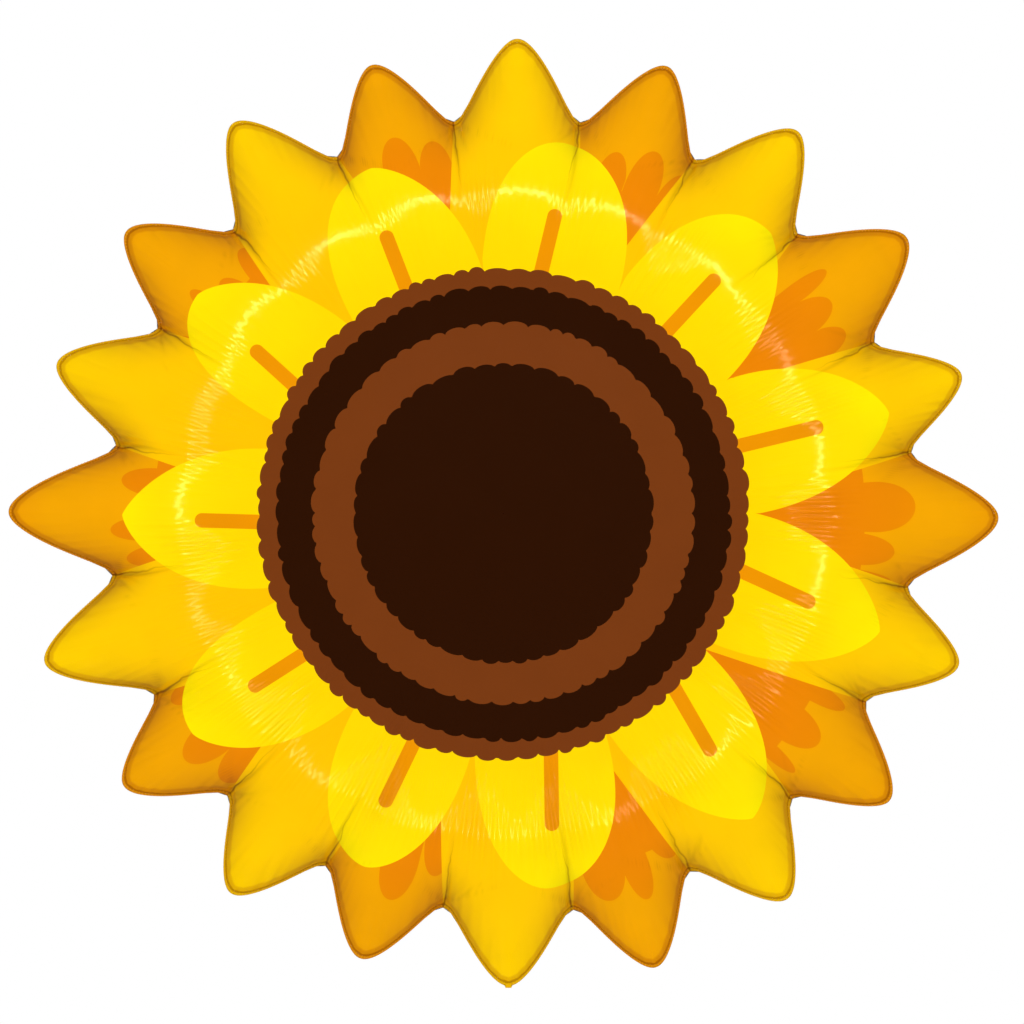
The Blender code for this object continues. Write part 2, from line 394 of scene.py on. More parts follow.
def fine_film(coarse_shares, coarse):
    """The puffed film on the fine grid: its shares, and points by ring and station."""
    fine = ring_shares(SKIN_STEP, MIDDLE_STEP, FIRST_STEP)
    fine = fine[fine > coarse_shares[-1]]
    by_ring = curve_through(coarse[::-1], coarse_shares[::-1], fine[::-1])[::-1]
    points = closed_curve_through(by_ring, SKIN_STATIONS // SIM_STATIONS)
    bearings, radii = stations(SKIN_STATIONS)
    points[0, :, 0] = radii * np.cos(bearings)
    points[0, :, 1] = 0
    points[0, :, 2] = radii * np.sin(bearings)
    return fine, points


def normals_of(points):
    """Outward normals of a ring-and-station grid whose heights point outwards."""
    along = np.gradient(points, axis=0)
    across = np.roll(points, -1, axis=1) - np.roll(points, 1, axis=1)
    normal = np.cross(along, across)
    normal /= np.linalg.norm(normal, axis=2, keepdims=True) + 1e-12
    return normal * np.sign(normal[len(points) // 2, 0, 1])


def round_noise(random, bearings, waves):
    """A smooth random value by bearing, from a few sines near this many waves a turn, mostly within 1."""
    total = np.zeros_like(bearings)
    for _ in range(NOISE_SINES):
        turns = round(waves * random.uniform(0.6, 1.5))
        total += np.sin(turns * bearings + random.uniform(0, 2 * np.pi))
    return total / math.sqrt(NOISE_SINES)


def notch_creases(points, height, random, settings):
    """Sharp valleys that run inwards from the notches, with a fan of lesser ones beside each, and how
    deep in a fold each point lies, from 0 to 1, which sets the painted shade in the folds."""
    x, z = points[..., 0], points[..., 2]
    radius = np.hypot(x, z)
    bearing = np.arctan2(z, x)
    total = np.zeros_like(x)
    folded = np.zeros_like(x)
    for notch, notch_radius in zip(*NOTCHES):
        near = abs(turned(bearing - notch)) < 0.5
        inward = notch_radius - SEAL_WIDTH - radius[near] * np.cos(bearing[near] - notch)
        sideways = radius[near] * np.sin(bearing[near] - notch)
        fan = [(lean * random.uniform(0.8, 1.2), random.uniform(0.16, 0.5), random.uniform(0.12, 0.34))
               for lean in (-1.5, -1.1, -0.75, -0.4, 0.4, 0.75, 1.1, 1.5)]
        for lean, reach, depth in [(random.uniform(-0.06, 0.06), 1.0, 1.0)] + fan:
            length = settings.crease_length * reach * random.uniform(0.75, 1.25)
            across = sideways - lean * np.clip(inward, 0, None)
            across += 0.0014 * np.sin(inward / 0.013 + random.uniform(0, 6))
            fade = np.clip(1 - inward / length, 0, 1) ** 1.2 * np.clip(inward / 0.004, 0, 1)
            width = 0.0013 + 0.025 * np.clip(inward, 0, None) * reach
            total[near] -= settings.crease_depth * depth * fade * np.exp(-abs(across) / width)
            line = np.exp(-((across / 0.0012) ** 2)) * min(1, depth * 2.2)
            folded[near] = np.maximum(folded[near], np.clip(fade * 1.6, 0, 1) * line)
    return total * np.clip(height / 0.006, 0, 1), folded


def round_pleats(points, random, settings):
    """Fine radial pleats where the round body is gathered, uneven in depth and in place."""
    x, z = points[..., 0], points[..., 2]
    radius = np.hypot(x, z)
    bearing = np.arctan2(z, x)
    waves = round(2 * math.pi * 0.25 / settings.pleat_pitch)
    phase = waves * bearing + 3.2 * round_noise(random, bearing, 9) + 1.3 * round_noise(random, bearing, 34)
    depth = np.clip(0.72 + 0.40 * round_noise(random, bearing, 13) - 0.34 * np.sin(bearing), 0.15, 1.7)
    centre = 0.258 + 0.010 * round_noise(random, bearing, 17)
    spread = np.where(radius < centre, 0.048, 0.022) * (1 + 0.22 * round_noise(random, bearing, 23))
    fade = np.exp(-((radius - centre) / spread) ** 2)
    wave = np.sin(phase + 14 * (radius - 0.25))
    return settings.pleat_depth * depth * fade * (wave - 0.25 * np.cos(2 * phase))


def seal_puckers(points, edge_distance, random, settings):
    """Short puckers square to the seal, where the flat cut edge is drawn in."""
    x, z = points[..., 0], points[..., 2]
    bearing = np.arctan2(z, x)
    waves = round(2 * math.pi * 0.35 / settings.pucker_pitch)
    phase = waves * bearing + 2.5 * round_noise(random, bearing, 40)
    depth = np.clip(0.55 + 0.5 * round_noise(random, bearing, 60), 0, 1.5)
    fade = np.clip(edge_distance / 0.002, 0, 1) * np.exp(-edge_distance / 0.011)
    return settings.pucker_depth * depth * fade * np.sin(phase)


def petal_dents(points, edge_distance, random, settings):
    """Soft dents and folds on each petal: one across the tip and a few along it."""
    x, z = points[..., 0], points[..., 2]
    radius = np.hypot(x, z)
    bearing = np.arctan2(z, x)
    total = np.zeros_like(x)
    for tip, tip_radius in zip(*TIPS):
        inward = tip_radius - radius * np.cos(bearing - tip)
        across = radius * np.sin(bearing - tip)
        near = abs(turned(bearing - tip)) < 0.3
        for _ in range(4):
            middle = random.uniform(-0.024, 0.024)
            lean = random.uniform(-0.35, 0.35) - middle * 9
            width = random.uniform(0.0016, 0.0040)
            start = random.uniform(0.010, 0.022)
            length = random.uniform(0.018, 0.042)
            fade = np.exp(-((inward - start - length / 2) / (length / 2)) ** 2)
            line = across - middle - lean * (inward - 0.03)
            shape = np.exp(-abs(line) / width) * random.choice((-1.0, -0.6, 0.5))
            total += np.where(near, settings.dent_depth * fade * shape, 0)
        bow = inward - random.uniform(0.016, 0.026) - across**2 * random.uniform(-14, 10)
        shape = -np.exp(-abs(bow) / 0.0022) * np.exp(-(across / 0.020) ** 2)
        total += np.where(near, settings.dent_depth * random.uniform(0.2, 1.1) * shape, 0)
    return total * np.clip(edge_distance / 0.005, 0, 1)


def detailed(points, seed, settings):
    """The fine film with its creases, pleats, puckers and dents raised along its normals."""
    random = np.random.default_rng(seed)
    normal = normals_of(points)
    height = points[..., 1]
    bearings, radii = stations(16)
    flat = points[..., ::2].reshape(-1, 2)
    outer = np.hypot(flat[:, 0], flat[:, 1]) > 0.24
    distance = np.full(len(flat), 0.1)
    far = flat[outer]
    found = [distance_to_edge(part[:, 0], part[:, 1], bearings, radii)
             for part in np.array_split(far, 12)]
    distance[outer] = np.concatenate(found)
    distance = distance.reshape(height.shape)
    distance[0] = 0
    rise, folded = notch_creases(points, height, random, settings)
    rise += round_pleats(points, random, settings)
    rise += seal_puckers(points, distance, random, settings)
    rise += petal_dents(points, distance, random, settings)
    rise[0] = 0
    made = points + normal * rise[..., None]
    made[..., 1] = np.maximum(made[..., 1], 0) + SEAM_RISE * (1 - np.exp(-distance / SEAM_WALL))
    return np.concatenate([made, (distance + SEAL_WIDTH)[..., None], folded[..., None]], axis=2)


def row_counts(shares):
    """How many stations each ring keeps: all in the petals, and fewer by halves towards the middle."""
    full = PETALS * SKIN_STATIONS
    return [full if share * MEAN_EDGE > 0.196 else full // 2 for share in shares]


def middle_rows(last_row, last_share):
    """Rings of the plain dome from the simulated film to the pole, ever fewer stations."""
    rows = []
    bearings, radii = stations(SKIN_STATIONS)
    share = last_share
    count = len(last_row)
    while share > 0.03:
        spacing = 2 * math.pi * share * MEAN_EDGE / count
        if count > 20 and spacing < 0.0045 and share < last_share:
            count //= 2
        share -= min(max(MIDDLE_STEP, spacing), 0.014) / MEAN_EDGE
        every = PETALS * SKIN_STATIONS // count
        if share < 0.02:
            break
        row = polar_points([share], bearings[::every], radii[::every])[0]
        row[:, 1] += SEAM_RISE
        rows.append(np.column_stack([row, np.full(len(row), 0.1), np.zeros(len(row))]))
    return rows


def stitched(mesh, rows, turn):
    """Joins rings of vertices, each with as many as or half as many as the ring before it."""
    faces = []
    for far, near in zip(rows, rows[1:]):
        step = len(far) // len(near)
        count = len(near)
        for here in range(count):
            after = (here + 1) % count
            outer = [far[(here * step + k) % len(far)] for k in range(step + 1)]
            if step == 1:
                corners = [(near[here], outer[0], outer[1], near[after])]
            else:
                corners = [(near[here], outer[k], outer[k + 1]) for k in range(step // 2)]
                corners += [(near[here], outer[step // 2], near[after])]
                corners += [(near[after], outer[k], outer[k + 1]) for k in range(step // 2, step)]
            for face in corners:
                faces.append(mesh.faces.new(face[::turn]))
    return faces


def lining_rows(skin_rows):
    """Coarse rings just inside the skin, kept below its lowest dents."""
    rows = []
    for ring in range(3, len(skin_rows) - 3, 3):
        around = skin_rows[ring]
        count = min(len(around) // 2, 320)
        step = len(around) // count
        lowest = around[:, 1].copy()
        for other in skin_rows[max(ring - 3, 0):ring + 4]:
            ratio = len(other) / len(around)
            if ratio >= 1:
                folded = other[:, 1].reshape(len(around), -1).min(axis=1)
            else:
                folded = np.repeat(other[:, 1], round(1 / ratio))
            lowest = np.minimum(lowest, folded)
        spread = np.min([np.roll(lowest, shift) for shift in range(-step, step + 1)], axis=0)
        row = around[::step].copy()
        row[:, 1] = np.maximum(spread[::step] - LINING_DROP, FLAT_GAP)
        rows.append(row)
    return rows


def sheet_mesh(side, film, shares, settings, seed):
    """One sheet as a closed shell: a fine skin, the flat seal, and a coarse lining."""
    points = detailed(film, seed, settings)
    skin = [points[ring][::len(points[ring]) // count]
            for ring, count in enumerate(row_counts(shares))]
    skin += middle_rows(skin[-1], shares[-1])
    bearings, radii = stations(SKIN_STATIONS)
    level = np.zeros_like(bearings)
    flat = np.stack([np.cos(bearings), level, np.sin(bearings)], axis=1)
    edge = np.column_stack([flat * (radii + SEAL_WIDTH)[:, None], level, level])
    half_way = flat * (radii + SEAL_WIDTH * 0.5)[:, None]
    half_seal = np.column_stack([half_way, level + SEAL_WIDTH * 0.5, level])
    skin = [edge, half_seal] + skin
    lining = lining_rows(skin)
    hem = edge[::4]
    mesh = bmesh.new()
    places = mesh.verts.layers.float_vector.new("print_place")
    margin = mesh.verts.layers.float.new("from_edge")
    fold = mesh.verts.layers.float.new("folded")
    corner = mesh.verts.layers.float_vector.new("corner_map")

    def ring_of(row, lift):
        made = []
        for x, height, z, from_edge, folded in row:
            vertex = mesh.verts.new((MIDDLE.x + x, side * (height + lift), MIDDLE.z + z))
            vertex[places] = (x, z, 0)
            vertex[margin] = from_edge
            vertex[fold] = folded
            made.append(vertex)
        return made

    outer_lift = FLAT_GAP + FILM
    rows = [ring_of(row, outer_lift) for row in skin]
    linings = [ring_of(hem, FLAT_GAP)] + [ring_of(row, FLAT_GAP) for row in lining]
    skin_faces = stitched(mesh, rows, side)
    pole = mesh.verts.new((MIDDLE.x, side * (HALF_DEPTH + SEAM_RISE + outer_lift), MIDDLE.z))
    last = rows[-1]
    for here in range(len(last)):
        skin_faces.append(mesh.faces.new((pole, last[here], last[(here + 1) % len(last)])[::side]))
    lining_faces = stitched(mesh, linings, -side)
    last = linings[-1]
    drop = min(vertex.co.y * side for vertex in last)
    pole = mesh.verts.new((MIDDLE.x, side * drop, MIDDLE.z))
    for here in range(len(last)):
        lining_faces.append(mesh.faces.new((pole, last[here], last[(here + 1) % len(last)])[::-side]))
    lining_faces += stitched(mesh, [rows[0], linings[0]], -side)
    tail = tail_grid(side)
    layers = []
    for layer, lift in enumerate((-FILM / 2, FILM / 2)):
        made = []
        for row, (line, normal) in enumerate(tail):
            for column, (x, y, z) in enumerate(line):
                vertex = mesh.verts.new((x, y + lift * normal[0], z + lift * normal[1]))
                vertex[places] = (x, -MIDDLE.z * 0.99, 0)
                vertex[margin] = 0.001 if row < TAIL_TURNS else 0.1
                across = (column / (TAIL_COLUMNS - 1) + 1.3 * layer) * TAIL_WIDTH
                vertex[corner] = (0.92 + across, 0.012 + 0.078 * row / (len(tail) - 1), 1)
                made.append(vertex)
        layers.append(np.array(made, dtype=object).reshape(len(tail), TAIL_COLUMNS))
    low, high = layers
    quads = []
    for grid, way in ((low, 1), (high, -1)):
        for row in range(len(tail) - 1):
            for column in range(TAIL_COLUMNS - 1):
                corners = (grid[row, column], grid[row, column + 1],
                           grid[row + 1, column + 1], grid[row + 1, column])
                quads.append(corners[::way])
    rims = ((low[0], high[0], -1), (low[-1], high[-1], 1), (low[:, 0], high[:, 0], 1),
            (low[:, -1], high[:, -1], -1))
    for under, over, way in rims:
        for here in range(len(under) - 1):
            corners = (under[here], under[here + 1], over[here + 1], over[here])
            quads.append(corners[::way])
    tail_faces = [mesh.faces.new(corners) for corners in quads]
    bmesh.ops.recalc_face_normals(mesh, faces=tail_faces)
    return mesh, skin_faces + tail_faces, lining_faces


def tail_grid(side):
    """Rows of points of one side of the filling tail, each with its normal in y and z: out of the seal,
    folded back behind the flower and up, a little crinkled towards its loose end."""
    fold = TAIL_FOLD - side * TAIL_STEP
    line = [(side * 0.0003, 0.0030, 0.0), (side * TAIL_STEP, 0.0012, 0.0)]
    for step in range(TAIL_TURNS + 1):
        turn = (math.pi - TAIL_LEAN) * step / TAIL_TURNS
        line.append((TAIL_FOLD - fold * math.cos(turn), -fold * math.sin(turn), 0.0))
    start_y, start_z, _ = line[-1]
    for step in range(1, TAIL_ROWS + 1):
        run = TAIL_LENGTH * step / TAIL_ROWS
        line.append((start_y + run * math.sin(TAIL_LEAN), start_z + run * math.cos(TAIL_LEAN), run))
    across = np.linspace(-TAIL_WIDTH / 2, TAIL_WIDTH / 2, TAIL_COLUMNS)
    rows = []
    for number, (y, z, run) in enumerate(line):
        ahead = line[min(number + 1, len(line) - 1)]
        behind = line[max(number - 1, 0)]
        step_y, step_z = ahead[0] - behind[0], ahead[1] - behind[1]
        normal = np.array([-step_z, step_y]) / math.hypot(step_y, step_z)
        loose = (run / TAIL_LENGTH) ** 1.5
        spread = across * (TAIL_NECK + (1 - TAIL_NECK) * min(run / TAIL_FLARE, 1))
        wave = np.sin(run / 0.0042 + 240 * across) + 0.8 * np.sin(run / 0.0083 - 420 * across + 1)
        lift = TAIL_CRINKLE * loose * wave
        rows.append((np.column_stack([spread, y + lift * normal[0], z + lift * normal[1]]), normal))
    return rows


# Print --------------------------------------------------------------------------------------------


def unit(bearing):
    return np.stack([np.cos(bearing), np.sin(bearing)], axis=-1)


def scallops(bearings, count, seed):
    """Height from 0 to 1 of the round scallops on the disc's rings, by bearing."""
    random = np.random.default_rng(seed)
    widths = random.uniform(0.68, 1.32, count)
    ends = np.cumsum(widths) / widths.sum() * 2 * np.pi
    tall = random.uniform(0.55, 1.0, count)
    turn = np.asarray(bearings) % (2 * np.pi)
    which = np.clip(np.searchsorted(ends, turn), 0, count - 1)
    starts = np.concatenate([[0], ends[:-1]])
    across = (turn - starts[which]) / (ends[which] - starts[which]) * 2 - 1
    return tall[which] * np.sqrt(np.clip(1 - across**2 * 0.96, 0, 1))


def flame_floors(turn):
    """Radius below which each flame is one solid shape, by bearing."""
    middles = np.radians([np.mean([lobe[0] for lobe in lobes]) for floor, lobes in FLAMES])
    own = abs(turned(turn[:, None] - middles[None])).argmin(axis=1)
    return np.array([floor for floor, lobes in FLAMES])[own]


def print_facts(bearings, mirrored):
    """What each face of the skin needs to know of the flower printed on it, by its bearing."""
    turn = np.pi - bearings if mirrored else bearings
    flip = np.array([-1.0, 1.0]) if mirrored else np.array([1.0, 1.0])
    facts = {}
    tips = np.radians([petal[0] for petal in INNER_PETALS])
    gap = turned(turn[:, None] - tips[None])
    before = np.radians([petal[2] for petal in INNER_PETALS])
    after = np.radians([petal[4] for petal in INNER_PETALS])
    spread = np.where(gap < 0, before[None], after[None])
    own = (abs(gap) / spread).argmin(axis=1)
    row = np.arange(len(turn))
    radius = np.array([petal[1] for petal in INNER_PETALS])[own]
    full = np.where(gap[row, own] < 0, np.array([petal[3] for petal in INNER_PETALS])[own],
                    np.array([petal[5] for petal in INNER_PETALS])[own])
    place = unit(tips[own]) * radius[:, None] * flip
    facts["petal_tip"] = np.column_stack([place, spread[row, own]])
    facts["petal_fullness"] = full
    foot, end, length = (np.array(values) for values in zip(*RIBS))
    facts["rib_foot"] = np.column_stack([unit(np.radians(foot))[own] * RIB_FOOT * flip, row * 0])
    facts["rib_end"] = np.column_stack([(unit(np.radians(end)) * length[:, None])[own] * flip, row * 0])
    lobe_bearing, lobe_radius, lobe_spread = (np.array(values) for values in zip(*LOBES))
    gap = turned(turn[:, None] - np.radians(lobe_bearing)[None])
    reach = lobe_cap(gap, np.radians(lobe_spread)[None], lobe_radius[None])
    own = reach.argmax(axis=1)
    place = unit(np.radians(lobe_bearing))[own] * lobe_radius[own][:, None] * flip
    facts["lobe_tip"] = np.column_stack([place, np.radians(lobe_spread)[own]])
    facts["flame_floor"] = flame_floors(turn)
    yellow = np.array([(TOP_PETAL + step) % PETALS for step in range(0, PETALS, 2)])
    axes = TIPS[0][yellow]
    own = abs(turned(bearings[:, None] - axes[None])).argmin(axis=1)
    side = turned(bearings - axes[own]) > 0
    widths = []
    for tip in yellow:
        before_notch = notch_before(tip)
        pair = []
        for notch in (before_notch, (before_notch + 1) % PETALS):
            pair.append(NOTCHES[1][notch] * abs(math.sin(NOTCHES[0][notch] - TIPS[0][tip])))
        widths.append(pair)
    width = np.array(widths)[own, side.astype(int)]
    facts["yellow_axis"] = np.column_stack([unit(axes[own]), width])
    own = abs(turned(bearings[:, None] - NOTCHES[0][None])).argmin(axis=1)
    inside = NOTCHES[1][own] - SEAL_WIDTH
    facts["notch_place"] = np.column_stack([unit(NOTCHES[0][own]) * inside[:, None], row * 0])
    return facts


def lobe_cap(gap, spread, radius):
    """How far a flame's lobe reaches at an angle from its own, or nothing past its sides."""
    share = abs(gap) / spread
    reach = radius - LOBE_HEIGHT + LOBE_HEIGHT * np.sqrt(np.clip(1 - share**2, 0, 1))
    return np.where(share < 1, reach, 0.2 - 0.01 * share)


def finish_sheet(name, side, mesh, skin_faces, lining_faces, materials):
    """Turns the sheet into an object, with its flat map and the facts of its print."""
    for face in skin_faces:
        face.smooth = True
    for face in lining_faces:
        face.smooth = True
        face.material_index = 1
    data = bpy.data.meshes.new(name)
    order = {face: number for number, face in enumerate(mesh.faces)}
    skin_index = np.array([order[face] for face in skin_faces])
    mesh.to_mesh(data)
    mesh.free()
    for material in materials:
        data.materials.append(material)
    count = len(data.polygons)
    corners = np.empty(len(data.loops), np.int32)
    data.loops.foreach_get("vertex_index", corners)
    places = np.empty(len(data.vertices) * 3, np.float32)
    data.attributes["print_place"].data.foreach_get("vector", places)
    places = places.reshape(-1, 3)
    starts = np.empty(count, np.int32)
    totals = np.empty(count, np.int32)
    data.polygons.foreach_get("loop_start", starts)
    data.polygons.foreach_get("loop_total", totals)
    centres = np.add.reduceat(places[corners], starts, axis=0)[:, :2] / totals[:, None]
    face_bearings = np.arctan2(centres[:, 1], centres[:, 0])
    for fact, values in print_facts(face_bearings, side > 0).items():
        kind = "FLOAT_VECTOR" if values.ndim == 2 else "FLOAT"
        layer = data.attributes.new(fact, kind, "FACE")
        layer.data.foreach_set("vector" if values.ndim == 2 else "value",
                               values.astype(np.float32).ravel())
    bearings = np.arctan2(places[:, 1], places[:, 0])
    printed = np.pi - bearings if side > 0 else bearings
    for ring, number in enumerate(SCALLOP_COUNTS):
        layer = data.attributes.new(f"scallop_{ring}", "FLOAT", "POINT")
        layer.data.foreach_set("value", scallops(printed, number, 7 + ring).astype(np.float32))
    flat = np.stack([side * -places[:, 0], places[:, 1]], axis=1) / (2 * MAP_HALF) + 0.5
    lined = np.ones(count, bool)
    lined[skin_index] = False
    on_lining = np.repeat(lined, totals)
    uv = flat[corners]
    u, v, half = UNPRINTED_MAP
    uv[on_lining] = (uv[on_lining] - 0.5) * 2 * half + (u, v)
    corner_map = np.empty(len(data.vertices) * 3, np.float32)
    data.attributes["corner_map"].data.foreach_get("vector", corner_map)
    corner_map = corner_map.reshape(-1, 3)[corners]
    in_corner = corner_map[:, 2] > 0.5
    uv[in_corner] = corner_map[in_corner, :2]
    data.attributes.remove(data.attributes["corner_map"])
    data.uv_layers.new(name="OFBake").data.foreach_set("uv", uv.astype(np.float32).ravel())
    piece = bpy.data.objects.new(name, data)
    bpy.context.scene.collection.objects.link(piece)
    return piece


# Materials ----------------------------------------------------------------------------------------


def new_material(name):
    """A material with its node tree and its shader."""
    material = bpy.data.materials.new(name)
    material.use_nodes = True
    return material, material.node_tree, material.node_tree.nodes["Principled BSDF"]


def color_ramp(tree, share, stops):
    """Colour that changes along a share from 0 to 1: (place, colour) stops."""
    ramp = add(tree, "ShaderNodeValToRGB", (share,))
    band = ramp.color_ramp
    while len(band.elements) < len(stops):
        band.elements.new(0.5)
    for element, (at, code) in zip(band.elements, stops):
        element.position = at
        element.color = linear(code)
    return ramp.outputs[0]


def printed_film(name, settings):
    """Printed metallised polyester film, the stuff of foil balloons: flexo-printed ink on a mirror-bright
    vacuum-coated layer under a clear gloss face, so the ink glows a little and highlights stay sharp."""
    material, tree, shader = new_material(name)
    place = add(tree, "ShaderNodeAttribute", attribute_name="print_place").outputs["Vector"]
    radius = add(tree, VECTOR, (place,), operation="LENGTH").outputs["Value"]
    parts = add(tree, "ShaderNodeSeparateXYZ", (place,))
    bearing = add(tree, MATH, (parts.outputs[1], parts.outputs[0]), operation="ARCTAN2").outputs[0]

    def turn_from(tip):
        """Angle between the place and a direction, either way round, with no jump at half a turn."""
        across = add(tree, VECTOR, (place, tip), operation="CROSS_PRODUCT").outputs[0]
        across = add(tree, "ShaderNodeSeparateXYZ", (across,)).outputs[2]
        along = add(tree, VECTOR, (place, tip), operation="DOT_PRODUCT").outputs["Value"]
        return add(tree, MATH, (across, along), operation="ARCTAN2").outputs[0]

    def below(value, limit):
        return add(tree, MATH, (value, limit), operation="LESS_THAN").outputs[0]

    def cap(fact, fullness, foot=None, tall=None):
        """Mask of a rounded petal shape given by its tip, its spread and its fullness. It stands on a
        foot at one radius, or is as tall as given."""
        tip = add(tree, "ShaderNodeAttribute", attribute_name=fact).outputs["Vector"]
        tip_parts = add(tree, "ShaderNodeSeparateXYZ", (tip,)).outputs
        flat_tip = add(tree, "ShaderNodeCombineXYZ", (tip_parts[0], tip_parts[1], 0.0)).outputs[0]
        length = add(tree, VECTOR, (flat_tip,), operation="LENGTH").outputs["Value"]
        gap = add(tree, MATH, (turn_from(flat_tip),), operation="ABSOLUTE").outputs[0]
        share = add(tree, MATH, (gap, tip_parts[2]), operation="DIVIDE").outputs[0]
        power = add(tree, MATH, (share, fullness), operation="POWER").outputs[0]
        rest = add(tree, MATH, (1.0, power), operation="SUBTRACT", use_clamp=True).outputs[0]
        root = add(tree, MATH, (rest,), operation="SQRT").outputs[0]
        if tall is None:
            tall = add(tree, MATH, (length, foot), operation="SUBTRACT").outputs[0]
        else:
            foot = add(tree, MATH, (length, tall), operation="SUBTRACT").outputs[0]
        reach = add(tree, MATH, (root, tall, foot), operation="MULTIPLY_ADD").outputs[0]
        return add(tree, MATH, (below(radius, reach), below(share, 1.0)), operation="MULTIPLY").outputs[0]

    def layer(under, over, mask, blend="MIX"):
        return add(tree, MIX, {0: mask, 6: under, 7: over}, data_type="RGBA", blend_type=blend).outputs[2]

    def fading(*stops):
        """Ink that changes with the distance from the middle: (radius, colour) stops."""
        share = add(tree, MATH, (radius, 0.4), operation="DIVIDE").outputs[0]
        return color_ramp(tree, share, [(at / 0.4, code) for at, code in stops])

    orange = fading((0.20, "#f0a100"), (0.30, "#f1a301"), (0.36, "#f0a301"), (0.39, "#ea9b02"))
    flame = fading((0.20, "#e37d02"), (0.28, "#e88402"), (0.33, "#ea8a00"))
    yellow = fading((0.20, "#fcbb00"), (0.25, "#fdc000"), (0.29, "#fec500"), (0.37, "#fdcc00"))
    petal = fading((0.20, "#fcd000"), (0.24, "#fed801"), (0.27, "#fedb01"), (0.31, "#fde800"))
    fullness = add(tree, "ShaderNodeAttribute", attribute_name="petal_fullness").outputs["Fac"]
    print_color = layer(orange, flame, cap("lobe_tip", 2.0, tall=LOBE_HEIGHT))
    floor = add(tree, "ShaderNodeAttribute", attribute_name="flame_floor").outputs["Fac"]
    print_color = layer(print_color, flame, below(radius, floor))
    axis = add(tree, "ShaderNodeAttribute", attribute_name="yellow_axis").outputs["Vector"]
    axis_parts = add(tree, "ShaderNodeSeparateXYZ", (axis,)).outputs
    flat_axis = add(tree, "ShaderNodeCombineXYZ", (axis_parts[0], axis_parts[1], 0.0)).outputs[0]
    across = add(tree, VECTOR, (place, flat_axis), operation="CROSS_PRODUCT").outputs[0]
    across = add(tree, VECTOR, (across,), operation="LENGTH").outputs["Value"]
    print_color = layer(print_color, yellow, below(across, axis_parts[2]))
    print_color = layer(print_color, petal, cap("petal_tip", fullness, foot=PETAL_FOOT))
    foot = add(tree, "ShaderNodeAttribute", attribute_name="rib_foot").outputs["Vector"]
    end = add(tree, "ShaderNodeAttribute", attribute_name="rib_end").outputs["Vector"]
    rib = add(tree, VECTOR, (end, foot), operation="SUBTRACT").outputs[0]
    away = add(tree, VECTOR, (place, foot), operation="SUBTRACT").outputs[0]
    top = add(tree, VECTOR, (away, rib), operation="DOT_PRODUCT").outputs["Value"]
    bottom = add(tree, VECTOR, (rib, rib), operation="DOT_PRODUCT").outputs["Value"]
    along = add(tree, MATH, (top, bottom), operation="DIVIDE", use_clamp=True).outputs[0]
    nearest = add(tree, VECTOR, {0: rib, 3: along}, operation="SCALE")
    off = add(tree, VECTOR, (away, nearest.outputs[0]), operation="SUBTRACT").outputs[0]
    off = add(tree, VECTOR, (off,), operation="LENGTH").outputs["Value"]
    print_color = layer(print_color, linear("#e68f00"), below(off, RIB_HALF_WIDTH))
    for ring, (edge, code) in enumerate(zip(DISC_EDGES, ("#733711", "#2b1002", "#733711", "#2b1002"))):
        scallop = add(tree, "ShaderNodeAttribute", attribute_name=f"scallop_{ring}").outputs["Fac"]
        depth = SCALLOP_DEPTH * (0.75 + 0.25 * edge / DISC_EDGES[0])
        limit = add(tree, MATH, (scallop, depth, edge - depth * 0.6), operation="MULTIPLY_ADD").outputs[0]
        print_color = layer(print_color, linear(code), below(radius, limit))
    # Painted shade along the seal, darkest as a painted dark line where the sheet leaves the seal.
    from_edge = add(tree, "ShaderNodeAttribute", attribute_name="from_edge").outputs["Fac"]
    share = add(tree, MATH, (from_edge, 0.01), operation="DIVIDE").outputs[0]
    rim = color_ramp(tree, share, (
        (0.0, "#e6dccc"), (0.2, "#e6dccc"), (0.27, "#bda886"), (0.36, "#bda886"),
        (0.44, "#f0e4c8"), (0.66, "#efe2c4"), (0.80, "#ffffff")))
    print_color = layer(print_color, rim, 1.0, "MULTIPLY")
    # Painted shade in the sharp folds, darkest as a painted dark line along the crease in from each notch.
    notch = add(tree, "ShaderNodeAttribute", attribute_name="notch_place").outputs["Vector"]
    inwards = add(tree, VECTOR, (notch,), operation="NORMALIZE").outputs[0]
    depth = add(tree, VECTOR, (notch, place), operation="SUBTRACT").outputs[0]
    run = add(tree, VECTOR, (depth, inwards), operation="DOT_PRODUCT").outputs["Value"]
    aside = add(tree, VECTOR, (place, inwards), operation="CROSS_PRODUCT").outputs[0]
    aside = add(tree, "ShaderNodeSeparateXYZ", (aside,)).outputs[2]
    stray = add(tree, "ShaderNodeTexNoise", {"Vector": place, "Scale": 45.0}).outputs[0]
    stray = add(tree, "ShaderNodeMapRange", (stray, 0.3, 0.7, -0.0018, 0.0018)).outputs[0]
    aside = add(tree, MATH, (aside, stray), operation="ADD").outputs[0]
    aside = add(tree, MATH, (aside,), operation="ABSOLUTE").outputs[0]
    fade = add(tree, "ShaderNodeMapRange", (run, 0.0, CREASE_SHADE_REACH, 1.0, 0.0)).outputs[0]
    width = add(tree, MATH, (fade, 0.0011, 0.0003), operation="MULTIPLY_ADD").outputs[0]
    line = add(tree, "ShaderNodeMapRange", {"Value": aside, 1: 0.0, 2: width, 3: 1.0, 4: 0.0}).outputs[0]
    line = add(tree, MATH, (line, fade), operation="MULTIPLY").outputs[0]
    folded = add(tree, "ShaderNodeAttribute", attribute_name="folded").outputs["Fac"]
    folded = add(tree, MATH, (folded, 0.35), operation="MULTIPLY").outputs[0]
    shaded = add(tree, MATH, (line, 0.9, folded), operation="MULTIPLY_ADD", use_clamp=True).outputs[0]
    print_color = layer(print_color, linear("#a08050"), shaded, "MULTIPLY")
